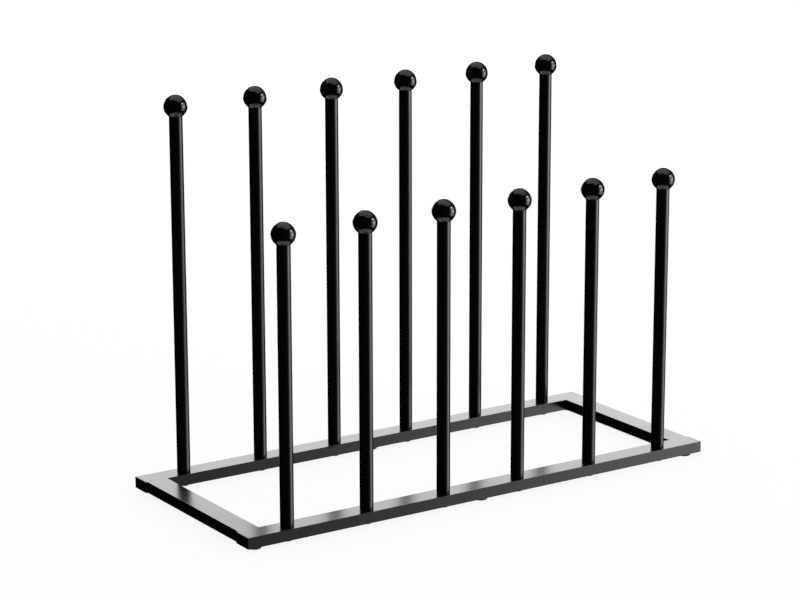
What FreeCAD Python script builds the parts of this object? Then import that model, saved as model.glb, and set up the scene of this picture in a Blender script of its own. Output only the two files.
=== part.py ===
import FreeCAD, Part
import math
import os

import Sketcher
from FreeCAD import Placement, Rotation, Vector

# Boot rack: a flat rectangular base of steel tube that carries two rows of upright rods, each with a
# ball on top. Wet boots hang upside down over the rods. The back row is taller than the front row.
#
# Frame of the whole rack: millimetres, X along the rows, Y from the front row (-) to the back row (+),
# Z up, origin on the floor at the middle of the base.

RODS_PER_ROW = 6

# Driving dimensions, each one free to change by itself.
SIZES = {
    "rod_pitch": 100.0,            # rod centre to rod centre along a row
    "end_margin": 53.0,            # last rod's centre to the cut end of the long rail
    "base_depth": 250.0,           # front face to back face of the base
    "rail_width": 25.4,            # rail section, lying flat
    "rail_height": 12.7,
    "rail_wall": 1.2,
    "rail_edge_radius": 0.5,       # outside corner of the rail's section, a sharp-drawn tube
    "rail_inner_radius": 0.2,
    "rod_diameter": 15.0,
    "rod_wall": 1.0,
    "rod_edge_break": 0.3,         # chamfer on the cut ends of a rod
    "tall_rod_length": 405.0,
    "short_rod_length": 305.0,
    "knob_diameter": 26.5,
    "knob_stem_length": 18.0,      # part of the knob inside the rod
    "knob_stem_clearance": 0.1,    # gap all round between stem and bore
    "knob_stem_lead": 1.5,         # taper at the stem's tip
    "knob_core_diameter": 6.0,     # blind hole that keeps the moulded ball from sinking
    "knob_core_rise": 9.0,         # how far that hole reaches into the ball
    "plug_length": 16.0,           # threaded plug in the foot of a rod
    "plug_clearance": 0.05,
    "plug_lead": 0.8,
    "bolt_diameter": 6.0,
    "bolt_engagement": 12.5,       # length of bolt inside the plug
    "bolt_thread_clearance": 0.05,
    "bolt_hole_clearance": 0.3,    # gap all round between bolt and rail
    "bolt_tip_chamfer": 0.8,
    "bolt_head_diameter": 11.0,
    "bolt_head_height": 3.4,
    "bolt_head_edge_radius": 0.4,
    "bolt_socket_width": 4.0,      # across the flats of the hexagon
    "bolt_socket_depth": 2.0,
    "bolt_floor_gap": 0.6,         # bolt head to floor
    "foot_diameter": 15.0,
    "foot_edge_radius": 0.6,
    "foot_stem_diameter": 7.0,
    "foot_hole_clearance": 0.1,
    "foot_barb_rim": 0.5,          # how far the barb stands out from the stem
    "foot_barb_gap": 0.2,          # barb to the inside of the rail's wall
    "foot_barb_height": 3.0,
    "foot_tip_diameter": 5.0,
    "cap_thickness": 2.0,
    "cap_edge_radius": 0.2,
    "cap_clearance": 0.15,
    "cap_wall": 1.2,
    "cap_foot_gap": 1.0,           # free rail between a cap's plug and the foot's barb
}


class Size:
    """A dimension that carries its value and its formula in the sheet's cells side by side."""

    def __init__(self, value, formula):
        self.value = float(value)
        self.formula = formula

    def __add__(self, other):
        other = as_size(other)
        return Size(self.value + other.value, f"({self.formula} + {other.formula})")

    def __sub__(self, other):
        other = as_size(other)
        return Size(self.value - other.value, f"({self.formula} - {other.formula})")

    def __mul__(self, factor):
        factor = as_size(factor)
        return Size(self.value * factor.value, f"({self.formula} * {factor.formula})")

    def __truediv__(self, divisor):
        divisor = as_size(divisor)
        return Size(self.value / divisor.value, f"({self.formula} / {divisor.formula})")

    def __neg__(self):
        return Size(-self.value, f"(-1 * {self.formula})")

    __rmul__ = __mul__


def as_size(number):
    """A plain number becomes a size that no cell drives."""
    if isinstance(number, Size):
        return number
    return Size(number, f"({float(number)})")


def root(size):
    return Size(math.sqrt(size.value), f"sqrt({size.formula})")


def make_sheet(document):
    """Writes the driving dimensions into the sheet and returns each one as a Size."""
    sheet = document.addObject("Spreadsheet::Sheet", "Sizes")
    sizes = {}
    for row, (alias, value) in enumerate(SIZES.items(), start=1):
        sheet.set(f"A{row}", alias.replace("_", " "))
        sheet.set(f"B{row}", str(value))
        sheet.setAlias(f"B{row}", alias)
        sizes[alias] = Size(value, f"Sizes.{alias}")
    return sizes


doc = FreeCAD.newDocument("boot_rack")
cell = make_sheet(doc)
doc.recompute()

# Dimensions that follow from the driving ones.
rail_bore_width = cell["rail_width"] - 2 * cell["rail_wall"]
rail_bore_height = cell["rail_height"] - 2 * cell["rail_wall"]
row_length = (RODS_PER_ROW - 1) * cell["rod_pitch"]
rail_length = row_length + 2 * cell["end_margin"]
end_rail_length = cell["base_depth"] - 2 * cell["rail_width"]
end_rail_x = (rail_length - cell["rail_width"]) / 2
row_y = (cell["base_depth"] - cell["rail_width"]) / 2
first_rod_x = -row_length / 2

foot_height = cell["bolt_head_height"] + cell["bolt_floor_gap"]
rail_middle_z = foot_height + cell["rail_height"] / 2
rail_top_z = foot_height + cell["rail_height"]

rod_radius = cell["rod_diameter"] / 2
rod_bore_radius = rod_radius - cell["rod_wall"]
knob_radius = cell["knob_diameter"] / 2
knob_stem_radius = rod_bore_radius - cell["knob_stem_clearance"]
knob_centre_height = root(knob_radius * knob_radius - rod_radius * rod_radius)
plug_radius = rod_bore_radius - cell["plug_clearance"]

bolt_radius = cell["bolt_diameter"] / 2
bolt_length = cell["rail_height"] + cell["bolt_engagement"]
bolt_hole_radius = bolt_radius + cell["bolt_hole_clearance"]
foot_stem_radius = cell["foot_stem_diameter"] / 2
foot_barb_radius = foot_stem_radius + cell["foot_barb_rim"]
foot_hole_radius = foot_stem_radius + cell["foot_hole_clearance"]
cap_plug_length = cell["rail_width"] / 2 - foot_barb_radius - cell["cap_foot_gap"]


# ---------------------------------------------------------------- document helpers

def new_body(label):
    body = doc.addObject("PartDesign::Body", label)
    body.Label = label
    return body


def new_sketch(body, name, plane_role):
    """Sketch on one of the body's own origin planes."""
    sketch = body.newObject("Sketcher::SketchObject", name)
    plane = next(item for item in body.Origin.OriginFeatures if item.Role == plane_role)
    sketch.AttachmentSupport = [(plane, "")]
    sketch.MapMode = "FlatFace"
    return sketch


def bind(item, path, size):
    item.setExpression(path, as_size(size).formula)


def place(body, x=0, y=0, z=0, axis=Vector(0, 0, 1), angle=0):
    """Puts a piece at its place in the rack, turned by a fixed angle about the axis."""
    body.Placement = Placement(Vector(), Rotation(axis, angle))
    bind(body, ".Placement.Base.x", x)
    bind(body, ".Placement.Base.y", y)
    bind(body, ".Placement.Base.z", z)


def dimension(sketch, constraint, size):
    index = sketch.addConstraint(constraint)
    bind(sketch, f"Constraints[{index}]", size)


def pin_point(sketch, item, end, x, y):
    """Holds one end of a sketch item at x, y from the sketch's origin."""
    for kind, size, axis in (("DistanceX", as_size(x), -2), ("DistanceY", as_size(y), -1)):
        if size.value == 0:
            sketch.addConstraint(Sketcher.Constraint("PointOnObject", item, end, axis))
        elif size.value > 0:
            dimension(sketch, Sketcher.Constraint(kind, -1, 1, item, end, size.value), size)
        else:
            dimension(sketch, Sketcher.Constraint(kind, item, end, -1, 1, -size.value), -size)


def arc_side(start, end, radius, left_hand):
    """Short arc from start to end with its centre on the left or right of the way there."""
    chord = end - start
    height = math.sqrt(radius**2 - (chord.Length / 2) ** 2)
    normal = Vector(-chord.y, chord.x, 0).normalize()
    centre = (start + end) / 2 + normal * (height if left_hand else -height)
    circle = Part.Circle(centre, Vector(0, 0, 1), radius)
    first, last = (start, end) if left_hand else (end, start)
    angles = [math.atan2(point.y - centre.y, point.x - centre.x) for point in (first, last)]
    return Part.ArcOfCircle(circle, angles[0], angles[1])


def closed_outline(sketch, corners, arcs=()):
    """Closed outline through the corners, every corner pinned to the sizes it is given in.

    arcs maps the number of a side to the (radius, left_hand) that bends it.
    """
    arcs = dict(arcs)
    corners = [(as_size(x), as_size(y)) for x, y in corners]
    points = [Vector(x.value, y.value, 0) for x, y in corners]
    sides = []
    for number, start in enumerate(points):
        end = points[(number + 1) % len(points)]
        if number in arcs:
            radius, left_hand = arcs[number]
            item = sketch.addGeometry(arc_side(start, end, radius.value, left_hand))
            sides.append((item, 1, 2) if left_hand else (item, 2, 1))
            dimension(sketch, Sketcher.Constraint("Radius", item, radius.value), radius)
        else:
            item = sketch.addGeometry(Part.LineSegment(start, end))
            sides.append((item, 1, 2))
    for number, (item, start, _) in enumerate(sides):
        before, _, before_end = sides[number - 1]
        sketch.addConstraint(Sketcher.Constraint("Coincident", before, before_end, item, start))
        pin_point(sketch, item, start, *corners[number])


def rounded_rectangle(sketch, width, height, radius):
    """Rectangle centred on the sketch's origin, with its four corners rounded."""
    half_width = width / 2
    half_height = height / 2
    flat_x = half_width - radius
    flat_y = half_height - radius
    corners = [
        (flat_x, -half_height), (half_width, -flat_y), (half_width, flat_y), (flat_x, half_height),
        (-flat_x, half_height), (-half_width, flat_y), (-half_width, -flat_y), (-flat_x, -half_height),
    ]
    closed_outline(sketch, corners, {side: (radius, True) for side in (0, 2, 4, 6)})


def circle(sketch, radius, x=0):
    """Circle with its centre on the sketch's horizontal axis."""
    x = as_size(x)
    item = sketch.addGeometry(Part.Circle(Vector(x.value, 0, 0), Vector(0, 0, 1), radius.value))
    pin_point(sketch, item, 3, x, 0)
    dimension(sketch, Sketcher.Constraint("Radius", item, radius.value), radius)


def pad(body, sketch, length, symmetric=False, downwards=False):
    feature = body.newObject("PartDesign::Pad", f"{sketch.Name}_pad")
    feature.Profile = sketch
    feature.SideType = "Symmetric" if symmetric else "One side"
    feature.Reversed = downwards
    bind(feature, "Length", length)
    return feature


def pocket(body, sketch, depth=None, both_ways=False, upwards=False):
    """Cut from the sketch, right through unless a depth is given; downwards unless told otherwise."""
    feature = body.newObject("PartDesign::Pocket", f"{sketch.Name}_pocket")
    feature.Profile = sketch
    feature.SideType = "Symmetric" if both_ways else "One side"
    feature.Reversed = upwards
    if depth is None:
        feature.Type = "ThroughAll"
    else:
        bind(feature, "Length", depth)
    return feature


def turned(body, corners, arcs=()):
    """Piece of revolution about Z from the (radius, height) corners of its half section."""
    sketch = new_sketch(body, "half_section", "XZ_Plane")
    closed_outline(sketch, corners, arcs)
    feature = body.newObject("PartDesign::Revolution", "turned")
    feature.Profile = sketch
    feature.ReferenceAxis = (sketch, ["V_Axis"])
    return feature


def dress(body, kind, base, size_path, size, is_wanted):
    """Fillet or chamfer on the edges of the base that is_wanted picks."""
    doc.recompute()
    names = [f"Edge{number}" for number, edge in enumerate(base.Shape.Edges, start=1) if is_wanted(edge)]
    feature = body.newObject(kind, kind.split("::")[1].lower())
    feature.Base = (base, names)
    bind(feature, size_path, size)
    body.Tip = feature
    return feature


def must_cut(feature):
    """A cut that points away from the solid removes nothing, so its volume is compared."""
    doc.recompute()
    if feature.Shape.Volume >= feature.BaseFeature.Shape.Volume - 1e-6:
        raise RuntimeError(f"{feature.Name} removes nothing")


# ---------------------------------------------------------------- the base

def rail_tube(body, plane_role, length):
    """Rectangular tube with rounded edges, its axis through the middle of its section."""
    section = new_sketch(body, "section", plane_role)
    rounded_rectangle(section, cell["rail_width"], cell["rail_height"], cell["rail_edge_radius"])
    rounded_rectangle(section, rail_bore_width, rail_bore_height, cell["rail_inner_radius"])
    return pad(body, section, length, symmetric=True)


def long_rail(label, y):
    """Front or back rail: full length, drilled for the rod bolts and the feet."""
    body = new_body(label)
    rail_tube(body, "YZ_Plane", rail_length)

    bolt_hole = new_sketch(body, "bolt_hole", "XY_Plane")
    circle(bolt_hole, bolt_hole_radius, first_rod_x)
    first_hole = pocket(body, bolt_hole, both_ways=True)
    must_cut(first_hole)
    row = body.newObject("PartDesign::LinearPattern", "bolt_hole_row")
    row.Originals = [first_hole]
    row.Direction = (bolt_hole, ["H_Axis"])
    row.Mode = "Spacing"
    row.Occurrences = RODS_PER_ROW
    bind(row, "Offset", cell["rod_pitch"])
    body.Tip = row
    must_cut(row)

    foot_holes = new_sketch(body, "foot_holes", "XY_Plane")
    for x in foot_places():
        circle(foot_holes, foot_hole_radius, x)
    must_cut(pocket(body, foot_holes))
    place(body, 0, y, rail_middle_z)
    return body


def end_rail(label, x):
    """Short rail butted between the long ones, its outer face level with their cut ends."""
    body = new_body(label)
    rail_tube(body, "XZ_Plane", end_rail_length)
    place(body, x, 0, rail_middle_z)
    return body


def corner_weld(number, x_side, y_side, z_side):
    """Weld metal, ground level, that fills the groove along a long rail's rounded edge at a joint."""
    body = new_body(f"weld_{number}")
    groove = new_sketch(body, "groove", "YZ_Plane")
    radius = cell["rail_edge_radius"]
    closed_outline(groove, [(0, 0), (0, -radius), (radius, 0)], {1: (radius, False)})
    pad(body, groove, cell["rail_width"] - 2 * radius, symmetric=True)
    turn = {(1, 1): 0, (1, -1): 90, (-1, -1): 180, (-1, 1): 270}[(y_side, z_side)]
    place(body, x_side * end_rail_x, y_side * (end_rail_length / 2),
          rail_middle_z + z_side * (cell["rail_height"] / 2), Vector(1, 0, 0), turn)
    return body


def end_cap(label, x_side, y):
    """Moulded cap in a cut end of a long rail: a flange that covers the cut and a hollow plug."""
    body = new_body(label)
    flange = new_sketch(body, "flange", "YZ_Plane")
    rounded_rectangle(flange, cell["rail_width"], cell["rail_height"], cell["rail_edge_radius"])
    plate = pad(body, flange, cell["cap_thickness"])

    plug = new_sketch(body, "plug", "YZ_Plane")
    width = rail_bore_width - 2 * cell["cap_clearance"]
    height = rail_bore_height - 2 * cell["cap_clearance"]
    inner_width = width - 2 * cell["cap_wall"]
    inner_height = height - 2 * cell["cap_wall"]
    rounded_rectangle(plug, width, height, cell["rail_inner_radius"])
    rounded_rectangle(plug, inner_width, inner_height, cell["rail_inner_radius"])
    walls = pad(body, plug, cap_plug_length, downwards=True)

    face_x = cell["cap_thickness"].value
    dress(body, "PartDesign::Fillet", walls, "Radius", cell["cap_edge_radius"],
          lambda edge: abs(edge.BoundBox.XMin - face_x) < 1e-6)
    place(body, x_side * (rail_length / 2), y, rail_middle_z, angle=0 if x_side > 0 else 180)
    return body


# ---------------------------------------------------------------- rods and what holds them

def rod(label, x, y, length):
    """Upright tube with its cut ends deburred, standing on top of a long rail."""
    body = new_body(label)
    section = new_sketch(body, "section", "XY_Plane")
    circle(section, rod_radius)
    circle(section, rod_bore_radius)
    tube = pad(body, section, length)
    dress(body, "PartDesign::Chamfer", tube, "Size", cell["rod_edge_break"],
          lambda edge: isinstance(edge.Curve, Part.Circle) and abs(edge.Curve.Radius - rod_radius.value) < 1e-6)
    place(body, x, y, rail_top_z)
    return body


def knob(label, x, y, seat_z):
    """Moulded ball that sits on the rod's rim, with a cored stem pushed into the bore."""
    body = new_body(label)
    core_radius = cell["knob_core_diameter"] / 2
    stem_tip_radius = knob_stem_radius - cell["knob_stem_lead"] / 2
    stem_length = cell["knob_stem_length"]
    turned(body, [
        (0, knob_centre_height + knob_radius),
        (rod_radius, 0),
        (knob_stem_radius, 0),
        (knob_stem_radius, cell["knob_stem_lead"] - stem_length),
        (stem_tip_radius, -stem_length),
        (core_radius, -stem_length),
        (core_radius, cell["knob_core_rise"]),
        (0, cell["knob_core_rise"] + core_radius / 2),
    ], {0: (knob_radius, False)})
    place(body, x, y, seat_z)
    return body


def rod_plug(label, x, y):
    """Steel plug pressed into the foot of a rod, bored through for the bolt's thread."""
    body = new_body(label)
    bore_radius = bolt_radius + cell["bolt_thread_clearance"]
    turned(body, [
        (bore_radius, 0),
        (plug_radius, 0),
        (plug_radius, cell["plug_length"] - cell["plug_lead"]),
        (plug_radius - cell["plug_lead"], cell["plug_length"]),
        (bore_radius, cell["plug_length"]),
    ])
    place(body, x, y, rail_top_z)
    return body


def rod_bolt(label, x, y):
    """Low-head bolt, up through the rail into the plug; its origin is under the head."""
    body = new_body(label)
    head_radius = cell["bolt_head_diameter"] / 2
    head_height = cell["bolt_head_height"]
    head_edge = cell["bolt_head_edge_radius"]
    turned(body, [
        (0, -head_height),
        (head_radius - head_edge, -head_height),
        (head_radius, head_edge - head_height),
        (head_radius, 0),
        (bolt_radius, 0),
        (bolt_radius, bolt_length - cell["bolt_tip_chamfer"]),
        (bolt_radius - cell["bolt_tip_chamfer"], bolt_length),
        (0, bolt_length),
    ], {1: (head_edge, True)})
    socket = new_sketch(body, "socket", "XY_Plane")
    bind(socket, ".AttachmentOffset.Base.z", -head_height)
    corner_radius = cell["bolt_socket_width"] / math.sqrt(3)
    corners = []
    for number in range(6):
        angle = math.radians(60 * number)
        corners.append((corner_radius * round(math.cos(angle), 12), corner_radius * round(math.sin(angle), 12)))
    closed_outline(socket, corners)
    must_cut(pocket(body, socket, cell["bolt_socket_depth"], upwards=True))
    place(body, x, y, foot_height)
    return body


def foot(label, x, y):
    """Moulded foot: a rounded pad on the floor and a barbed stem snapped into the rail."""
    body = new_body(label)
    radius = cell["foot_diameter"] / 2
    edge = cell["foot_edge_radius"]
    barb_z = foot_height + cell["rail_wall"] + cell["foot_barb_gap"]
    turned(body, [
        (0, 0),
        (radius - edge, 0),
        (radius, edge),
        (radius, foot_height),
        (foot_stem_radius, foot_height),
        (foot_stem_radius, barb_z),
        (foot_barb_radius, barb_z),
        (cell["foot_tip_diameter"] / 2, barb_z + cell["foot_barb_height"]),
        (0, barb_z + cell["foot_barb_height"]),
    ], {1: (edge, True)})
    place(body, x, y, 0)
    return body


# ---------------------------------------------------------------- the rack

def foot_places():
    """Feet along a long rail: under both end rails and at the middle."""
    return [-end_rail_x, as_size(0), end_rail_x]


def rod_places():
    return [first_rod_x + number * cell["rod_pitch"] for number in range(RODS_PER_ROW)]


def make_base():
    parts = [long_rail("front_rail", -row_y), long_rail("back_rail", row_y)]
    parts.append(end_rail("left_end_rail", -end_rail_x))
    parts.append(end_rail("right_end_rail", end_rail_x))
    welds = []
    for x_side in (-1, 1):
        for y_side in (-1, 1):
            for z_side in (-1, 1):
                welds.append(corner_weld(len(welds) + 1, x_side, y_side, z_side))
    parts.append(group("corner_welds", welds))
    for row_name, y in (("front", -row_y), ("back", row_y)):
        for side_name, x_side in (("left", -1), ("right", 1)):
            parts.append(end_cap(f"{row_name}_{side_name}_cap", x_side, y))
        for place_name, x in zip(("left", "middle", "right"), foot_places()):
            parts.append(foot(f"{row_name}_{place_name}_foot", x, y))
    return parts


def make_rods():
    parts = []
    bolts = []
    rows = (("tall", row_y, cell["tall_rod_length"]), ("short", -row_y, cell["short_rod_length"]))
    for row_name, y, length in rows:
        for number, x in enumerate(rod_places(), start=1):
            parts.append(rod(f"{row_name}_rod_{number}", x, y, length))
            parts.append(knob(f"{row_name}_knob_{number}", x, y, rail_top_z + length))
            parts.append(rod_plug(f"{row_name}_rod_plug_{number}", x, y))
            bolts.append(rod_bolt(f"bolt_{row_name}_{number}", x, y))
    parts.append(group("rod_bolts", bolts))
    return parts


def group(label, bodies):
    """Identical pieces kept as separate solids of one sub-part."""
    compound = doc.addObject("Part::Compound", label)
    compound.Label = label
    compound.Links = bodies
    return compound


def check_document():
    doc.recompute()
    for item in doc.Objects:
        if {"Invalid", "Error"} & set(item.State):
            raise RuntimeError(f"{item.Label} did not recompute: {item.State}")


def export(parts):
    os.makedirs("parts", exist_ok=True)
    for part in parts:
        shape = part.Shape
        if shape.isNull() or not shape.isValid() or not shape.Solids:
            raise RuntimeError(f"{part.Label} has no sound solid")
    for part in parts:
        part.Shape.exportStep(f"parts/{part.Label}.step")
        print(f"{part.Label}: {len(part.Shape.Solids)} solid(s), {part.Shape.Volume / 1000:.3f} cm3")


rack = make_base() + make_rods()
check_document()
export(rack)
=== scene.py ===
# %% [markdown]
# # A boot rack in powder-coated steel
#
# The rack has a flat base of rectangular tube on six low feet. Twelve round rods stand on it in two rows,
# and each one ends in a ball, so that a wet boot can hang upside down over it. The solid model is made
# already. This lesson dresses it: it takes the sizes from the solid model, builds the pieces that are
# seen with clean round faces, and gives each one the finish of the real thing.
#
# The rack is a good subject for Geometry Nodes, because nearly all of it repeats: one rod, one ball, one
# foot and one bolt are enough, and a row of points does the rest.

# %% Load the frame
import math

import bmesh
import bpy
from mathutils import Matrix, Vector


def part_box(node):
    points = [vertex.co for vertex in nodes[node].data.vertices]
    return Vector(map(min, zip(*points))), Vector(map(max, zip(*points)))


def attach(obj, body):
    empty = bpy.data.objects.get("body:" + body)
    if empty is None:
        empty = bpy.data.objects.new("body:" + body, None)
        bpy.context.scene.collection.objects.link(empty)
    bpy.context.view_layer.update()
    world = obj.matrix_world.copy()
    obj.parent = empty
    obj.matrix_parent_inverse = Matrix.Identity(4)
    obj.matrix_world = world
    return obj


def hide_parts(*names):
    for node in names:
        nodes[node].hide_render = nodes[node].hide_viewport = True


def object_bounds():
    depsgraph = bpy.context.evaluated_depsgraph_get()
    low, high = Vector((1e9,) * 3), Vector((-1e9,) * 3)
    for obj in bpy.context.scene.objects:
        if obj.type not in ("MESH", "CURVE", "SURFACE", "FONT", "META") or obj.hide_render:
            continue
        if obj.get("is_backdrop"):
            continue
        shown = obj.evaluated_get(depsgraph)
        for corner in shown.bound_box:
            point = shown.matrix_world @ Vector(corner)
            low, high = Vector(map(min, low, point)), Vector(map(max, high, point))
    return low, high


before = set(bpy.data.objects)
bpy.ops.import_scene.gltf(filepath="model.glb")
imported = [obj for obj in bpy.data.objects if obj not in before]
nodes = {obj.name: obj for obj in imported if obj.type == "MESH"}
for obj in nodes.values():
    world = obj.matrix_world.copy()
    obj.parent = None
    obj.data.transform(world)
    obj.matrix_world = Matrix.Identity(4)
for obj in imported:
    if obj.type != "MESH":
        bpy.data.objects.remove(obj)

cad_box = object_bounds()
print(f"{len(nodes)} solid nodes, box {[round(side * 1000, 1) for side in cad_box[1] - cad_box[0]]} mm")

# %% [markdown]
# ## Sizes
#
# Whatever can be measured is measured on the solid model, so the dressed rack follows it if it changes.
# Only what is hidden inside a tube, or too small for a box to show, is written down here in millimetres.

# %% Measure the solid model
MM = 0.001


def middle(node):
    """Centre of a node's box."""
    low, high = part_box(node)
    return (low + high) / 2


def extent(node):
    """Length, depth and height of a node's box."""
    low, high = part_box(node)
    return high - low


rail_length, rail_width, rail_height = extent("front_rail")
end_rail_length = extent("left_end_rail").y
rail_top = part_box("front_rail")[1].z
row_y = middle("back_rail").y
end_rail_x = middle("right_end_rail").x
foot_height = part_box("front_rail")[0].z
feet_in_row = 3

rods_in_row = 6
first_rod = middle("tall_rod_1")
rod_pitch = middle("tall_rod_2").x - first_rod.x
rod_radius = extent("tall_rod_1").x / 2
rod_lengths = {"tall": extent("tall_rod_1").z, "short": extent("short_rod_1").z}
rod_rows = {"tall": row_y, "short": -row_y}

knob_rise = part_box("tall_knob_1")[1].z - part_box("tall_rod_1")[1].z
knob_radius = (knob_rise ** 2 + rod_radius ** 2) / (2 * knob_rise)
print(f"rod {2 * rod_radius / MM:.1f} mm, ball {2 * knob_radius / MM:.1f} mm, pitch {rod_pitch / MM:.1f} mm")

# %% Write down what a box can't show
rail_wall = 1.2 * MM
rail_edge_radius = 0.5 * MM
rail_inner_radius = 0.2 * MM
rod_wall = 1.0 * MM
rod_edge_break = 0.3 * MM
bolt_hole_radius = 3.3 * MM
foot_hole_radius = 3.6 * MM

# %% [markdown]
# ## Three small tools
#
# A node tree reads best as a list of nodes with what feeds each of them. One function is enough for
# that, for shapes and for finishes alike. The second one starts a shape tree with named inputs, and the
# third one runs a tree and keeps what it made as a plain mesh, because an exported model has no modifiers.

# %% Add one node
def add_node(tree, kind, feeds=None, **settings):
    """New node; each feed is a value, the output that is linked to the input, or a list of outputs."""
    node = tree.nodes.new(kind)
    for name, value in settings.items():
        setattr(node, name, value)
    for name, value in (feeds or {}).items():
        for feed in value if isinstance(value, list) else [value]:
            if isinstance(feed, bpy.types.NodeSocket):
                tree.links.new(feed, node.inputs[name])
            else:
                node.inputs[name].default_value = feed
    return node


# %% Start and end a shape tree
SHARP_ANGLE = math.radians(35)


def start_shape(name, **inputs):
    """New tree with a named input of each given kind; returns the tree and its inputs."""
    tree = bpy.data.node_groups.new(name, "GeometryNodeTree")
    for label, kind in inputs.items():
        tree.interface.new_socket(label, in_out="INPUT", socket_type=f"NodeSocket{kind}")
    tree.interface.new_socket("shape", in_out="OUTPUT", socket_type="NodeSocketGeometry")
    print(f"shape tree {name} with {len(inputs)} inputs")
    return tree, add_node(tree, "NodeGroupInput").outputs


def end_shape(tree, shape, finish):
    """Real faces in place of instances, one finish, and creases only where two faces really meet."""
    real = add_node(tree, "GeometryNodeRealizeInstances", {"Geometry": shape})
    round_faces = add_node(tree, "GeometryNodeSetShadeSmooth", {"Geometry": real.outputs[0]}, domain="FACE")
    angle = add_node(tree, "GeometryNodeInputMeshEdgeAngle")
    is_crease = add_node(tree, "FunctionNodeCompare",
                         {"A": angle.outputs["Unsigned Angle"], "B": SHARP_ANGLE},
                         data_type="FLOAT", operation="GREATER_THAN")
    creased = add_node(tree, "GeometryNodeSetShadeSmooth",
                       {"Geometry": round_faces.outputs[0], "Selection": is_crease.outputs[0],
                        "Shade Smooth": False}, domain="EDGE")
    finished = add_node(tree, "GeometryNodeSetMaterial", {"Geometry": creased.outputs[0], "Material": finish})
    add_node(tree, "NodeGroupOutput", {"shape": finished.outputs[0]})


# %% Run a shape tree
def grow(name, tree, **values):
    """Runs the tree with these inputs and returns what it made as a plain mesh object."""
    blank = bpy.data.objects.new(f"{name}_blank", bpy.data.meshes.new(f"{name}_blank"))
    bpy.context.scene.collection.objects.link(blank)
    modifier = blank.modifiers.new("shape", "NODES")
    modifier.node_group = tree
    for socket in tree.interface.items_tree:
        if socket.in_out == "INPUT":
            modifier[socket.identifier] = values[socket.name]
    blank.modifiers.new("flat_faces_stay_flat", "WEIGHTED_NORMAL").keep_sharp = True
    made = blank.evaluated_get(bpy.context.evaluated_depsgraph_get())
    mesh = bpy.data.meshes.new_from_object(made)
    bpy.data.objects.remove(blank)
    mesh.name = name
    piece = bpy.data.objects.new(name, mesh)
    bpy.context.scene.collection.objects.link(piece)
    print(f"{name}: {len(mesh.polygons)} faces")
    return piece


# %% [markdown]
# ## Finishes
#
# All that shows on the rack is black, so the finishes differ only in how they throw light back. A gloss
# paint on steel, a polished moulded ball and a rubbery foot can share one colour and still look nothing
# alike: it is the roughness, and the small waves in the surface, that tell them apart.
#
# Colours are written as hex values, the way a paint chart or a picture editor gives them. A renderer
# counts light, so each one is turned to a linear value first.

# %% Turn a hex colour to linear light
def linear(hex_colour):
    """Linear RGBA of an sRGB hex colour such as #0a0a0b."""
    channels = [int(hex_colour[place:place + 2], 16) / 255 for place in (1, 3, 5)]
    light = [c / 12.92 if c <= 0.04045 else ((c + 0.055) / 1.055) ** 2.4 for c in channels]
    return (*light, 1.0)


# %% [markdown]
# Three functions serve all the finishes. The first one starts a material. The second one adds slow
# patches, in which the tone and the gloss change a little. A noise texture seldom leaves the range from
# 0.3 to 0.7, so that is what the roughness is spread over. The third one adds small waves.

# %% Start a finish
def start_finish(name, **shader_values):
    """New material, with its fixed values set on the shader itself; returns tree, shader and position."""
    material = bpy.data.materials.new(name)
    material.use_nodes = True
    tree = material.node_tree
    shader = tree.nodes["Principled BSDF"]
    for socket, value in shader_values.items():
        shader.inputs[socket.replace("_", " ")].default_value = value
    position = add_node(tree, "ShaderNodeTexCoord").outputs["Object"]
    print(f"finish {name}")
    return material, tree, shader, position


NOISE_LOW = 0.3
NOISE_HIGH = 0.7


def mottle(tree, shader, position, size, colours, roughness):
    """Slow change of tone and of gloss across a surface, in patches of about the given size."""
    patches = add_node(tree, "ShaderNodeTexNoise", {"Vector": position, "Scale": 1 / size, "Detail": 3.0})
    tone = add_node(tree, "ShaderNodeMix", {"Factor": patches.outputs["Fac"], "A": linear(colours[0]),
                                            "B": linear(colours[1])}, data_type="RGBA")
    gloss = add_node(tree, "ShaderNodeMapRange", {"Value": patches.outputs["Fac"],
                                                  "From Min": NOISE_LOW, "From Max": NOISE_HIGH,
                                                  "To Min": roughness[0], "To Max": roughness[1]})
    tree.links.new(tone.outputs["Result"], shader.inputs["Base Color"])
    tree.links.new(gloss.outputs["Result"], shader.inputs["Roughness"])


def relief(tree, shader, position, size, depth, detail=2.0):
    """Small waves in the surface, of the given size and depth."""
    waves = add_node(tree, "ShaderNodeTexNoise", {"Vector": position, "Scale": 1 / size, "Detail": detail})
    bump = add_node(tree, "ShaderNodeBump", {"Height": waves.outputs["Fac"], "Strength": 1.0,
                                             "Distance": depth})
    tree.links.new(bump.outputs["Normal"], shader.inputs["Normal"])


# %% [markdown]
# ### Powder coat
#
# The steel is dusted with dry polyester powder and baked until the powder flows together. It comes out
# as one smooth gloss skin without brush marks, with a faint orange peel: shallow waves, a millimetre or
# two apart, that soften the edges of what the paint mirrors. The skin has one surface, so it gets no
# clear coat on top. Thin steel tube is coated a little smoother than the rails, which take more powder.

# %% Powder coat
def powder_coat(name, peel_size, peel_depth, roughness):
    """Gloss black baked polyester powder: deep black, softened mirror images, faint orange peel."""
    material, tree, shader, position = start_finish(name, IOR=1.5)
    mottle(tree, shader, position, 60 * MM, ("#040405", "#070708"), roughness)
    relief(tree, shader, position, peel_size, peel_depth)
    return material


rail_coat = powder_coat("gloss_black_powder_coat_on_rail", 1.6 * MM, 0.002 * MM, (0.215, 0.25))
tube_coat = powder_coat("gloss_black_powder_coat_on_tube", 1.4 * MM, 0.0015 * MM, (0.21, 0.25))

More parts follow.
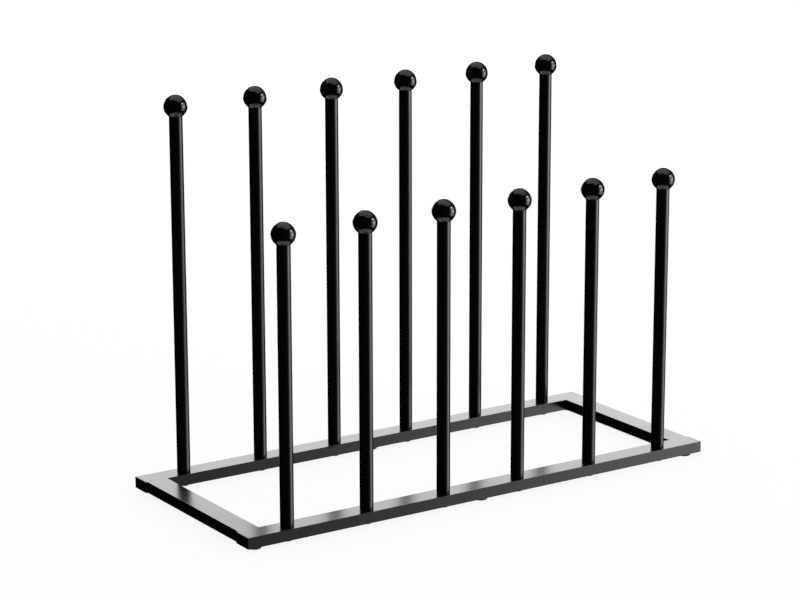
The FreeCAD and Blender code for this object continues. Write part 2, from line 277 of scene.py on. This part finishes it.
# %% [markdown]
# ### Moulded plastics
#
# The balls are moulded in a polished steel tool, so they shine more than the paint. The end caps come
# out of a tool with a fine etched grain, which spreads the light. The feet are an elastomer, soft and
# dull, so that they grip the floor.

# %% Moulded plastics
knob_plastic, tree, shader, position = start_finish("polished_moulded_abs", IOR=1.5)
mottle(tree, shader, position, 12 * MM, ("#040405", "#070708"), (0.09, 0.12))
relief(tree, shader, position, 4 * MM, 0.003 * MM)

cap_plastic, tree, shader, position = start_finish("etched_moulded_polyethylene", IOR=1.5)
mottle(tree, shader, position, 8 * MM, ("#070708", "#0b0b0c"), (0.30, 0.36))
relief(tree, shader, position, 0.5 * MM, 0.003 * MM)

foot_rubber, tree, shader, position = start_finish("moulded_elastomer", IOR=1.5)
mottle(tree, shader, position, 5 * MM, ("#0a0a0b", "#111112"), (0.55, 0.68))
relief(tree, shader, position, 0.7 * MM, 0.02 * MM, detail=4.0)

# %% [markdown]
# ### Steel that isn't painted
#
# The bolts are blackened in a hot salt bath and oiled. That leaves a thin, dark skin that still looks
# like metal, with a brown cast where it is thinner. The plugs inside the rods are turned and zinc
# plated: bright, with the fine rings of the lathe round their axis, one for each turn of the work. A
# wave texture of scale 1 repeats about every 0.314 units, so that length over the feed is its scale.

# %% Bare steels
bolt_steel, tree, shader, position = start_finish("black_oxide_steel", Metallic=1.0)
mottle(tree, shader, position, 2.5 * MM, ("#232224", "#2f2b28"), (0.34, 0.46))
relief(tree, shader, position, 0.6 * MM, 0.004 * MM)

plug_steel, tree, shader, position = start_finish("turned_zinc_plated_steel", Metallic=1.0)
mottle(tree, shader, position, 3 * MM, ("#a6abb0", "#bfc3c6"), (0.26, 0.38))
LATHE_FEED = 0.4 * MM
RING_DEPTH = 0.01 * MM
WAVE_AT_SCALE_ONE = 0.314
rings = add_node(tree, "ShaderNodeTexWave", {"Vector": position, "Scale": WAVE_AT_SCALE_ONE / LATHE_FEED,
                                             "Distortion": 0.4}, bands_direction="Z")
ring_bump = add_node(tree, "ShaderNodeBump", {"Height": rings.outputs["Fac"], "Distance": RING_DEPTH})
tree.links.new(ring_bump.outputs["Normal"], shader.inputs["Normal"])

# %% [markdown]
# ## The base
#
# Four lengths of rectangular tube make the base. The long rails run through, and the short ones are
# butted between them and welded. A rail is one section all the way along, so it is a section led along
# a line: a rectangle with rounded corners, swept by Curve to Mesh. The bore is the same thing again, a
# wall thickness smaller, and it is taken out of the bar, as the holes for the bolts and the feet are.

# %% Bars and drills
HOLE_STEPS = 32


def swept_bar(tree, length, width, height, radius, steps):
    """Solid bar along X with a rounded rectangular section."""
    ends = []
    for share in (-0.5, 0.5):
        end = add_node(tree, "ShaderNodeMath", {0: length, 1: share}, operation="MULTIPLY")
        ends.append(add_node(tree, "ShaderNodeCombineXYZ", {"X": end.outputs[0]}).outputs[0])
    line = add_node(tree, "GeometryNodeCurvePrimitiveLine", {"Start": ends[0], "End": ends[1]})
    section = add_node(tree, "GeometryNodeCurvePrimitiveQuadrilateral", {"Width": width, "Height": height})
    rounded = add_node(tree, "GeometryNodeFilletCurve",
                       {"Curve": section.outputs[0], "Radius": radius, "Count": steps}, mode="POLY")
    swept = add_node(tree, "GeometryNodeCurveToMesh", {"Curve": line.outputs[0], "Fill Caps": True,
                                                       "Profile Curve": rounded.outputs[0]})
    return swept.outputs[0]


def drills(tree, radius, depth, count, pitch, height):
    """Row of upright cylinders along X, centred on the rail, to be taken out of it."""
    gaps = add_node(tree, "ShaderNodeMath", {0: count, 1: 1.0}, operation="SUBTRACT")
    span = add_node(tree, "ShaderNodeMath", {0: pitch, 1: gaps.outputs[0]}, operation="MULTIPLY")
    first = add_node(tree, "ShaderNodeMath", {0: span.outputs[0], 1: -0.5}, operation="MULTIPLY")
    start = add_node(tree, "ShaderNodeCombineXYZ", {"X": first.outputs[0], "Z": height})
    step = add_node(tree, "ShaderNodeCombineXYZ", {"X": pitch})
    places = add_node(tree, "GeometryNodeMeshLine", {"Count": count, "Start Location": start.outputs[0],
                                                     "Offset": step.outputs[0]})
    drill = add_node(tree, "GeometryNodeMeshCylinder", {"Vertices": HOLE_STEPS, "Radius": radius,
                                                         "Depth": depth})
    row = add_node(tree, "GeometryNodeInstanceOnPoints", {"Points": places.outputs[0],
                                                          "Instance": drill.outputs["Mesh"]})
    return add_node(tree, "GeometryNodeRealizeInstances", {"Geometry": row.outputs[0]}).outputs[0]


# %% [markdown]
# The drills for the bolts are longer than the rail is high, so that they cut right through it. Those for
# the feet come from below and stop in the middle of the tube.

# %% One rail
DRILL_REACH = 1.2
rail_tree, size = start_shape(
    "rail", length="Float", width="Float", height="Float", wall="Float", edge_radius="Float",
    inner_radius="Float", bolt_hole_radius="Float", bolt_holes="Int", bolt_pitch="Float",
    foot_hole_radius="Float", foot_holes="Int", foot_pitch="Float",
)
bar = swept_bar(rail_tree, size["length"], size["width"], size["height"], size["edge_radius"], steps=4)

walls = add_node(rail_tree, "ShaderNodeMath", {0: size["wall"], 1: 2.0}, operation="MULTIPLY").outputs[0]
bore_size = {}
for side, change in (("length", "ADD"), ("width", "SUBTRACT"), ("height", "SUBTRACT")):
    inner_side = add_node(rail_tree, "ShaderNodeMath", {0: size[side], 1: walls}, operation=change)
    bore_size[side] = inner_side.outputs[0]
bore = swept_bar(rail_tree, **bore_size, radius=size["inner_radius"], steps=3)

through = add_node(rail_tree, "ShaderNodeMath", {0: size["height"], 1: DRILL_REACH}, operation="MULTIPLY")
bolt_drills = drills(rail_tree, size["bolt_hole_radius"], through.outputs[0], size["bolt_holes"],
                     size["bolt_pitch"], 0.0)
underside = add_node(rail_tree, "ShaderNodeMath", {0: size["height"], 1: -0.5}, operation="MULTIPLY")
foot_drills = drills(rail_tree, size["foot_hole_radius"], size["height"], size["foot_holes"],
                     size["foot_pitch"], underside.outputs[0])
hollow = add_node(rail_tree, "GeometryNodeMeshBoolean",
                  {"Mesh 1": bar, "Mesh 2": [bore, bolt_drills, foot_drills]},
                  operation="DIFFERENCE", solver="EXACT")
add_node(rail_tree, "NodeGroupOutput", {"shape": hollow.outputs["Mesh"]})

# %% [markdown]
# The base needs each rail twice, so each one is made once and set on two points: the long rail at the
# front and the back row, and the short rail, turned a quarter, at both ends.

# %% The whole base
base_tree, size = start_shape(
    "base_frame", rail_length="Float", end_rail_length="Float", width="Float", height="Float", wall="Float",
    edge_radius="Float", inner_radius="Float", bolt_hole_radius="Float", rods_in_row="Int",
    rod_pitch="Float", foot_hole_radius="Float", end_rail_x="Float", row_y="Float", middle_height="Float",
    finish="Material",
)


def rail_pair(tree, length, bolt_holes, foot_holes, across, turn):
    """Two equal rails, one on each side of the rack's middle."""
    rail = add_node(tree, "GeometryNodeGroup", {
        "length": length, "width": size["width"], "height": size["height"], "wall": size["wall"],
        "edge_radius": size["edge_radius"], "inner_radius": size["inner_radius"],
        "bolt_hole_radius": size["bolt_hole_radius"], "bolt_holes": bolt_holes,
        "bolt_pitch": size["rod_pitch"], "foot_hole_radius": size["foot_hole_radius"],
        "foot_holes": foot_holes, "foot_pitch": size["end_rail_x"]}, node_tree=rail_tree)
    sides = []
    for side in (-1.0, 1.0):
        distance = add_node(tree, "ShaderNodeMath", {0: across[1], 1: side}, operation="MULTIPLY")
        sides.append(add_node(tree, "ShaderNodeCombineXYZ", {across[0]: distance.outputs[0],
                                                             "Z": size["middle_height"]}).outputs[0])
    places = add_node(tree, "GeometryNodeCurvePrimitiveLine", {"Start": sides[0], "End": sides[1]})
    return add_node(tree, "GeometryNodeInstanceOnPoints", {"Points": places.outputs[0],
                                                           "Instance": rail.outputs[0],
                                                           "Rotation": (0, 0, turn)}).outputs[0]


long_rails = rail_pair(base_tree, size["rail_length"], size["rods_in_row"], feet_in_row,
                       ("Y", size["row_y"]), 0.0)
end_rails = rail_pair(base_tree, size["end_rail_length"], 0, 0, ("X", size["end_rail_x"]), math.pi / 2)
all_rails = add_node(base_tree, "GeometryNodeJoinGeometry", {"Geometry": [long_rails, end_rails]})
end_shape(base_tree, all_rails.outputs[0], size["finish"])

base_rails = grow(
    "base_rails", base_tree, rail_length=rail_length, end_rail_length=end_rail_length, width=rail_width,
    height=rail_height, wall=rail_wall, edge_radius=rail_edge_radius, inner_radius=rail_inner_radius,
    bolt_hole_radius=bolt_hole_radius, rods_in_row=rods_in_row, rod_pitch=rod_pitch,
    foot_hole_radius=foot_hole_radius, end_rail_x=end_rail_x, row_y=row_y,
    middle_height=rail_top - rail_height / 2, finish=rail_coat)
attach(base_rails, "root")
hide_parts("front_rail", "back_rail", "left_end_rail", "right_end_rail")

# %% [markdown]
# ## The rods
#
# A round tube is a rectangle too, if you cut it open: the section of its wall, as tall as the tube. Led
# round a circle, it makes the whole tube with its bore and its broken edges in one go. Mesh Line then
# gives a row of points, and each of them gets a tube.

# %% A row of rods
ROUND_STEPS = 64
rod_tree, size = start_shape(
    "rod_row", count="Int", pitch="Float", first="Vector", length="Float", radius="Float", wall="Float",
    edge_break="Float", finish="Material",
)
half_wall = add_node(rod_tree, "ShaderNodeMath", {0: size["wall"], 1: 0.5}, operation="MULTIPLY")
wall_middle = add_node(rod_tree, "ShaderNodeMath", {0: size["radius"], 1: half_wall.outputs[0]},
                       operation="SUBTRACT")
round_path = add_node(rod_tree, "GeometryNodeCurvePrimitiveCircle", {"Resolution": ROUND_STEPS,
                                                                     "Radius": wall_middle.outputs[0]})
wall_section = add_node(rod_tree, "GeometryNodeCurvePrimitiveQuadrilateral",
                        {"Width": size["wall"], "Height": size["length"]})
broken = add_node(rod_tree, "GeometryNodeFilletCurve",
                  {"Curve": wall_section.outputs[0], "Radius": size["edge_break"], "Count": 2}, mode="POLY")
tube = add_node(rod_tree, "GeometryNodeCurveToMesh",
                {"Curve": round_path.outputs[0], "Profile Curve": broken.outputs[0]})
step = add_node(rod_tree, "ShaderNodeCombineXYZ", {"X": size["pitch"]})
row = add_node(rod_tree, "GeometryNodeMeshLine", {"Count": size["count"], "Start Location": size["first"],
                                                  "Offset": step.outputs[0]})
rods = add_node(rod_tree, "GeometryNodeInstanceOnPoints", {"Points": row.outputs[0],
                                                           "Instance": tube.outputs[0]})
end_shape(rod_tree, rods.outputs[0], size["finish"])

for row_name, y in rod_rows.items():
    length = rod_lengths[row_name]
    piece = grow(
        f"{row_name}_rods", rod_tree, count=rods_in_row, pitch=rod_pitch,
        first=(first_rod.x, y, rail_top + length / 2), length=length, radius=rod_radius, wall=rod_wall,
        edge_break=rod_edge_break, finish=tube_coat)
    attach(piece, "root")
    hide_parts(*(f"{row_name}_rod_{number}" for number in range(1, rods_in_row + 1)))

# %% [markdown]
# ## Turned and moulded pieces
#
# Balls, feet and bolts are round, and the end caps are rounded rectangles. What they have in common is
# that each can be cut into rings that follow one after the other, from one pole to the other. A ring is
# a list of points, and a ring of one point closes the piece. One short function can join them all.

# %% Join rings to one closed piece
def join_rings(name, rings):
    """Mesh object through a list of rings of points, from the first pole to the last."""
    form = bmesh.new()
    loops = [[form.verts.new(point) for point in ring] for ring in rings]
    for near, far in zip(loops, loops[1:]):
        count = max(len(near), len(far))
        for here in range(count):
            after = (here + 1) % count
            corners = (near[here % len(near)], near[after % len(near)],
                       far[after % len(far)], far[here % len(far)])
            form.faces.new(list(dict.fromkeys(corners)))
    bmesh.ops.recalc_face_normals(form, faces=form.faces)
    mesh = bpy.data.meshes.new(name)
    form.to_mesh(mesh)
    form.free()
    piece = bpy.data.objects.new(name, mesh)
    bpy.context.scene.collection.objects.link(piece)
    print(f"{name}: joined from {len(rings)} rings")
    return piece


def circle_ring(radius, height, steps=ROUND_STEPS):
    """Points round the Z axis; half a step off, so that no point reaches past the true circle's box."""
    if radius == 0:
        return [(0, 0, height)]
    angles = [math.tau * (number + 0.5) / steps for number in range(steps)]
    return [(radius * math.cos(angle), radius * math.sin(angle), height) for angle in angles]


def arc(centre, radius, start, end, steps):
    """Points of a half section, (distance from the axis, height), round an arc given in degrees."""
    turns = [math.radians(start + (end - start) * number / steps) for number in range(steps + 1)]
    return [(centre[0] + radius * math.cos(turn), centre[1] + radius * math.sin(turn)) for turn in turns]


def turned(name, half_section):
    """Closed piece of revolution through the points of its half section."""
    return join_rings(name, [circle_ring(*point) for point in half_section])


# %% [markdown]
# A row of any such piece is again a line of points. This tree takes the finished piece as an object, so
# it serves balls, feet, bolts and caps alike. It makes a grid: a line of lines. Once its copies stand, the
# piece itself is removed.

# %% A grid of one piece
grid_tree, size = start_shape(
    "piece_grid", piece="Object", along="Int", along_step="Vector", across="Int", across_step="Vector",
    first="Vector", turn="Rotation", finish="Material",
)
line = add_node(grid_tree, "GeometryNodeMeshLine", {"Count": size["along"], "Offset": size["along_step"]})
lines = add_node(grid_tree, "GeometryNodeMeshLine", {"Count": size["across"], "Start Location": size["first"],
                                                     "Offset": size["across_step"]})
grid = add_node(grid_tree, "GeometryNodeInstanceOnPoints", {"Points": lines.outputs[0],
                                                            "Instance": line.outputs[0]})
places = add_node(grid_tree, "GeometryNodeRealizeInstances", {"Geometry": grid.outputs[0]})
master = add_node(grid_tree, "GeometryNodeObjectInfo", {"Object": size["piece"]}, transform_space="ORIGINAL")
copies = add_node(grid_tree, "GeometryNodeInstanceOnPoints",
                  {"Points": places.outputs[0], "Instance": master.outputs["Geometry"],
                   "Rotation": size["turn"]})
end_shape(grid_tree, copies.outputs[0], size["finish"])


def set_out(name, master_piece, first, finish, replaced, along=(1, (0, 0, 0)), across=(1, (0, 0, 0)),
            turn=0.0):
    """Copies of one piece on a grid of points, as one finished piece of the rack."""
    piece = grow(name, grid_tree, piece=master_piece, along=along[0], along_step=along[1],
                 across=across[0], across_step=across[1], first=first, turn=(0, 0, turn), finish=finish)
    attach(piece, "root")
    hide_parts(*replaced)


# %% [markdown]
# ### The ball knobs
#
# A knob is one moulding: a ball that sits on the rod's rim, and a stem pushed into its bore. The stem is
# hollow, so that the thick ball doesn't sink while it cools.

# %% The ball knobs
knob_centre = knob_rise - knob_radius
seat_angle = -math.degrees(math.acos(rod_radius / knob_radius))
stem_clearance = 0.1 * MM
stem_radius = rod_radius - rod_wall - stem_clearance
stem_length = 18 * MM
stem_lead = 1.5 * MM
core_radius = 3 * MM
core_rise = 9 * MM

knob_section = [
    (0, knob_rise),
    *arc((0, knob_centre), knob_radius, 90, seat_angle, steps=44)[1:],
    (stem_radius, 0),
    (stem_radius, stem_lead - stem_length),
    (stem_radius - stem_lead / 2, -stem_length),
    (core_radius, -stem_length),
    (core_radius, core_rise),
    (0, core_rise + core_radius / 2),
]
knob = turned("knob", knob_section)
for row_name, y in rod_rows.items():
    set_out(f"{row_name}_knobs", knob, (first_rod.x, y, rail_top + rod_lengths[row_name]), knob_plastic,
            [f"{row_name}_knob_{number}" for number in range(1, rods_in_row + 1)],
            along=(rods_in_row, (rod_pitch, 0, 0)))
bpy.data.objects.remove(knob)

# %% [markdown]
# ### The feet
#
# A foot is a low round pad with a barbed stem that snaps into the rail from below. The pads lift the
# base off the floor, so that the bolt heads under it clear the ground.

# %% The feet
foot_low, foot_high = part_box("front_left_foot")
pad_radius = (foot_high.x - foot_low.x) / 2
pad_edge = 0.6 * MM
foot_stem_radius = 3.5 * MM
barb_rim = 0.5 * MM
barb_gap = 0.2 * MM
barb_radius = foot_stem_radius + barb_rim
barb_height = foot_height + rail_wall + barb_gap
stem_top_radius = 2.5 * MM

foot_section = [
    (0, 0),
    *arc((pad_radius - pad_edge, pad_edge), pad_edge, -90, 0, steps=8),
    (pad_radius, foot_height),
    (foot_stem_radius, foot_height),
    (foot_stem_radius, barb_height),
    (barb_radius, barb_height),
    (stem_top_radius, foot_high.z),
    (0, foot_high.z),
]
foot = turned("foot", foot_section)
foot_nodes = [f"{row_name}_{place}_foot" for row_name in ("front", "back")
              for place in ("left", "middle", "right")]
set_out("feet", foot, (-end_rail_x, -row_y, 0), foot_rubber, foot_nodes,
        along=(feet_in_row, (end_rail_x, 0, 0)), across=(2, (0, 2 * row_y, 0)))
bpy.data.objects.remove(foot)

# %% [markdown]
# ### The bolts
#
# Under each rod a low-head bolt comes up through the rail into the plug in the rod's foot. Its key
# socket is a hexagon in a round head. That is no problem for rings: a hexagon ring has as many points as
# the round one, and each point lies where its ray from the centre meets the hexagon's side.

# %% The bolts
bolt_head_height = foot_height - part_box("rod_bolts")[0].z
bolt_head_radius = extent("rod_bolts").y / 2 - row_y
bolt_head_edge = 0.4 * MM
bolt_radius = 3 * MM
bolt_chamfer = 0.8 * MM
bolt_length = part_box("rod_bolts")[1].z - foot_height
socket_radius = 2 * MM
socket_depth = 2 * MM


def hexagon_ring(flat_radius, height, steps=ROUND_STEPS):
    """As many points as a circle ring has, on the sides of a hexagon."""
    points = []
    for x, y, _ in circle_ring(1, 0, steps):
        off_middle = (math.atan2(y, x) + math.pi / 6) % (math.pi / 3) - math.pi / 6
        reach = flat_radius / math.cos(off_middle)
        points.append((x * reach, y * reach, height))
    return points


bolt_section = [
    *arc((bolt_head_radius - bolt_head_edge, bolt_head_edge - bolt_head_height), bolt_head_edge, -90, 0,
         steps=5),
    (bolt_head_radius, 0),
    (bolt_radius, 0),
    (bolt_radius, bolt_length - bolt_chamfer),
    (bolt_radius - bolt_chamfer, bolt_length),
    (0, bolt_length),
]
bolt = join_rings("bolt", [
    [(0, 0, socket_depth - bolt_head_height)],
    hexagon_ring(socket_radius, socket_depth - bolt_head_height),
    hexagon_ring(socket_radius, -bolt_head_height),
    *(circle_ring(*point) for point in bolt_section),
])
set_out("rod_bolt_set", bolt, (first_rod.x, -row_y, foot_height), bolt_steel,
        ["rod_bolts"], along=(rods_in_row, (rod_pitch, 0, 0)), across=(2, (0, 2 * row_y, 0)))
bpy.data.objects.remove(bolt)

# %% [markdown]
# ### The end caps
#
# A cap closes each cut end of the long rails: a flange with a finely rounded rim, and behind it a hollow
# plug that grips inside the tube. Here the rings are rounded rectangles. Towards the face each one is
# smaller than the last, along a quarter circle, and that makes the rounded rim.

# %% The end caps
cap_low, cap_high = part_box("front_right_cap")
cap_thickness = cap_high.x - rail_length / 2
cap_plug_length = rail_length / 2 - cap_low.x
cap_rim = 0.2 * MM
cap_clearance = 0.15 * MM
cap_wall = 1.2 * MM
RIM_STEPS = 6


def rectangle_ring(width, height, radius, x, corner_steps=6):
    """Points of a rectangle with rounded corners, facing along X."""
    points = []
    for number, (side_y, side_z) in enumerate(((1, 1), (-1, 1), (-1, -1), (1, -1))):
        centre = (side_y * (width / 2 - radius), side_z * (height / 2 - radius))
        for y, z in arc(centre, radius, 90 * number, 90 * (number + 1), corner_steps):
            points.append((x, y, z))
    return points


cap_rings = [[(cap_thickness, 0, 0)]]
for number in range(RIM_STEPS + 1):
    turn = math.radians(90 * number / RIM_STEPS)
    inset = cap_rim * (1 - math.sin(turn))
    cap_rings.append(rectangle_ring(rail_width - 2 * inset, rail_height - 2 * inset, rail_edge_radius - inset,
                                    cap_thickness - cap_rim * (1 - math.cos(turn))))
plug_inset = rail_wall + cap_clearance
cap_rings.append(rectangle_ring(rail_width, rail_height, rail_edge_radius, 0))
for inset, x in ((plug_inset, 0), (plug_inset, -cap_plug_length), (plug_inset + cap_wall, -cap_plug_length),
                 (plug_inset + cap_wall, 0)):
    cap_rings.append(rectangle_ring(rail_width - 2 * inset, rail_height - 2 * inset, rail_inner_radius, x))
cap_rings.append([(0, 0, 0)])
cap = join_rings("cap", cap_rings)
for side_name, side, turn in (("left", -1, math.pi), ("right", 1, 0.0)):
    cap_nodes = [f"{row_name}_{side_name}_cap" for row_name in ("front", "back")]
    set_out(f"{side_name}_end_caps", cap, (side * rail_length / 2, -row_y, rail_top - rail_height / 2),
            cap_plastic, cap_nodes, across=(2, (0, 2 * row_y, 0)), turn=turn)
bpy.data.objects.remove(cap)

# %% [markdown]
# ### What stays as it is
#
# The weld metal in the corners is ground level with the rails, and the plugs sit inside the rods. Their
# solid shapes are right, so they stay and only get their finish.

# %% Welds and plugs
def dress(node, finish):
    """Puts a finish on every material slot of a solid node."""
    for slot in nodes[node].material_slots:
        slot.material = finish


dress("corner_welds", rail_coat)
for row_name in rod_rows:
    for number in range(1, rods_in_row + 1):
        dress(f"{row_name}_rod_plug_{number}", plug_steel)
print(f"welds and {len(rod_rows) * rods_in_row} plugs dressed")

# %% [markdown]
# ## The studio
#
# A gloss black thing has almost no colour of its own. What the eye sees is the room, mirrored in it. So
# the room is built for the reflections. A black curtain hangs all round the rack and closes over it, and
# keeps the rods dark. Inside it, a tall softbox on the right draws a bright line down each rod, a low one
# behind the rack lights up the tops of the rails, and one overhead sets a soft patch on each ball. The
# curtain is open at the bottom, so the undersides of the balls mirror white.
#
# The camera stands three metres off, to the left of the rack and a little above it. Its lens is long, so
# the rods stay nearly parallel.

# %% The camera
camera_place = Vector((-1.61568784, -2.39630342, 0.93756))
camera_turn = math.radians(33.45754)
camera_pitch = math.radians(14.25047)
camera_roll = math.radians(-0.11996)

camera = bpy.data.objects.new("camera", bpy.data.cameras.new("camera"))
bpy.context.scene.collection.objects.link(camera)
camera.data.sensor_width = 36.0
camera.data.lens = 119.3487
camera.matrix_world = (Matrix.Translation(camera_place) @ Matrix.Rotation(-camera_turn, 4, "Z")
                       @ Matrix.Rotation(math.pi / 2 - camera_pitch, 4, "X")
                       @ Matrix.Rotation(camera_roll, 4, "Z"))
bpy.context.scene.camera = camera
bpy.context.scene.view_settings.view_transform = "Standard"
print(f"camera {camera_place.length:.2f} m from the middle of the footprint")

# %% [markdown]
# The background is plain white, because the camera, and whatever mirrors the room, meets a light of
# strength 1 there. The light that falls on the rack is a different matter, and stays softer than that.

# %% The white room
def seen_background(tree):
    """1 where the background is looked at, straight, in a mirror or through glass; 0 where it lights."""
    rays = add_node(tree, "ShaderNodeLightPath").outputs
    direct = add_node(tree, "ShaderNodeMath", {0: rays["Is Camera Ray"], 1: rays["Is Glossy Ray"]},
                      operation="MAXIMUM")
    return add_node(tree, "ShaderNodeMath", {0: direct.outputs[0], 1: rays["Is Transmission Ray"]},
                    operation="MAXIMUM").outputs[0]


AMBIENT = 0.35
world = bpy.data.worlds.new("white_room")
bpy.context.scene.world = world
world.use_nodes = True
strength = add_node(world.node_tree, "ShaderNodeMapRange", {"Value": seen_background(world.node_tree),
                                                            "To Min": AMBIENT, "To Max": 1.0})
background = world.node_tree.nodes["Background"]
background.inputs["Color"].default_value = linear("#ffffff")
world.node_tree.links.new(strength.outputs["Result"], background.inputs["Strength"])
print(f"white room: seen at strength 1, lights the rack at strength {AMBIENT}")

# %% [markdown]
# The floor is pale and matt. Most of its white comes from the same trick, and the rest from the light
# that falls on it, so the rack still leaves a faint shadow. The floor is kept out of the mirror images:
# the rods would otherwise be grey from top to bottom. It throws no shadow upwards either, so the light of
# the room reaches the undersides too.

# %% The floor
FLOOR_GLOW = 0.9
reach = 6.0
floor_mesh = bpy.data.meshes.new("floor")
floor_mesh.from_pydata([(-reach, -reach, 0), (reach, -reach, 0), (reach, reach, 0), (-reach, reach, 0)],
                       [], [(0, 1, 2, 3)])
floor = bpy.data.objects.new("floor", floor_mesh)
bpy.context.scene.collection.objects.link(floor)
floor.visible_glossy = False
floor.visible_shadow = False
floor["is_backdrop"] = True

floor_finish, tree, shader, position = start_finish("pale_studio_floor", Roughness=0.9)
shader.inputs["Base Color"].default_value = linear("#f6f6f6")
glow = add_node(tree, "ShaderNodeEmission", {"Color": linear("#ffffff"), "Strength": 1.0})
share = add_node(tree, "ShaderNodeMath", {0: seen_background(tree), 1: FLOOR_GLOW}, operation="MULTIPLY")
blend = add_node(tree, "ShaderNodeMixShader", {0: share.outputs[0], 1: shader.outputs[0],
                                               2: glow.outputs[0]})
tree.links.new(blend.outputs[0], tree.nodes["Material Output"].inputs["Surface"])
floor_mesh.materials.append(floor_finish)
print(f"floor {2 * reach:.0f} m square")

# %% [markdown]
# The curtain is an upright cylinder with a lid, joined from rings as the balls are. It is there for the
# mirror images alone: it hides nothing from the camera and keeps no light from the rack. Its edges are
# given as angles seen from the rack, because that is how a mirror image shows them.

# %% The black curtain
STAGE_RADIUS = 5.0
CURTAIN_FOOT = -52
CURTAIN_TOP = 60
CURTAIN_STEP = 5


def direction(azimuth, elevation):
    """Unit vector that points azimuth degrees to the camera's right, seen from the rack, and up."""
    to_camera = math.radians(-90) - camera_turn
    turn = to_camera + math.radians(azimuth)
    level = math.cos(math.radians(elevation))
    return Vector((level * math.cos(turn), level * math.sin(turn), math.sin(math.radians(elevation))))


def curtain_edge(azimuth, elevation):
    """Point of the curtain's edge at that angle, on an upright cylinder round the rack."""
    way = direction(azimuth, elevation)
    return way * STAGE_RADIUS / math.hypot(way.x, way.y)


curtain_angles = range(-180, 180, CURTAIN_STEP)
curtain_rings = [[curtain_edge(azimuth, elevation) for azimuth in curtain_angles]
                 for elevation in (CURTAIN_FOOT, CURTAIN_TOP)]
curtain_rings.append([(0, 0, curtain_rings[-1][0].z)])
curtain = join_rings("black_curtain", curtain_rings)
for ray in ("camera", "diffuse", "transmission", "shadow", "volume_scatter"):
    setattr(curtain, f"visible_{ray}", False)
curtain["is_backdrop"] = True
curtain_cloth, tree, shader, position = start_finish("black_duvetyne", Roughness=1.0, Specular_IOR_Level=0.0)
shader.inputs["Base Color"].default_value = linear("#050505")
curtain.data.materials.append(curtain_cloth)

# %% [markdown]
# A real softbox is brightest in its middle and fades towards its rim, and that fade is what a gloss
# surface shows. A lamp here is even all over, so the softboxes on the right and overhead are nests of
# lamps: a wide faint one, and smaller ones within it that add to it. Each points at the rack from its own
# angle, because two lamps in one plane would hide each other. A small strong spot near the top of the
# right softbox puts the glint on the balls.

# %% The lamps
LAMP_DISTANCE = 4.0


def softbox(name, azimuth, elevation, width, height, radiance):
    """Lamp that fills the given angles, seen from the rack, with light of the given radiance."""
    lamp = bpy.data.lights.new(name, "AREA")
    lamp.shape = "RECTANGLE"
    lamp.size = 2 * LAMP_DISTANCE * math.tan(math.radians(width / 2))
    lamp.size_y = 2 * LAMP_DISTANCE * math.tan(math.radians(height / 2))
    lamp.energy = radiance * math.pi * lamp.size * lamp.size_y
    box = bpy.data.objects.new(name, lamp)
    bpy.context.scene.collection.objects.link(box)
    place = direction(azimuth, elevation) * LAMP_DISTANCE
    box.matrix_world = Matrix.Translation(place) @ (-place).to_track_quat("-Z", "Y").to_matrix().to_4x4()
    box.visible_camera = False
    print(f"{name}: {lamp.size:.2f} x {lamp.size_y:.2f} m, {lamp.energy:.0f} W")


softbox("right_softbox_rim", 85, 0, 54, 61, 0.65)
softbox("right_softbox", 88.5, 0, 39, 60, 1.0)
softbox("right_softbox_core", 89.5, -5, 27, 44, 1.2)
softbox("right_softbox_middle", 86.5, 1, 31, 17, 2.6)
softbox("right_spot", 82.5, 27.5, 11, 10, 16.5)
softbox("back_softbox", 180, 13, 60, 34, 3.0)
softbox("top_softbox_rim", 155, 79, 92, 70, 0.3)
softbox("top_softbox", 155, 81, 82, 61, 0.35)
softbox("top_softbox_core", 155, 83, 72, 52, 0.35)

# %% [markdown]
# ## Last look
#
# The dressed rack has to be as large as the solid one. Both boxes are written down side by side.

# %% Compare the boxes
dressed_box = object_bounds()
for corner, dressed in zip(cad_box, dressed_box):
    print([round(value / MM, 2) for value in corner], [round(value / MM, 2) for value in dressed])
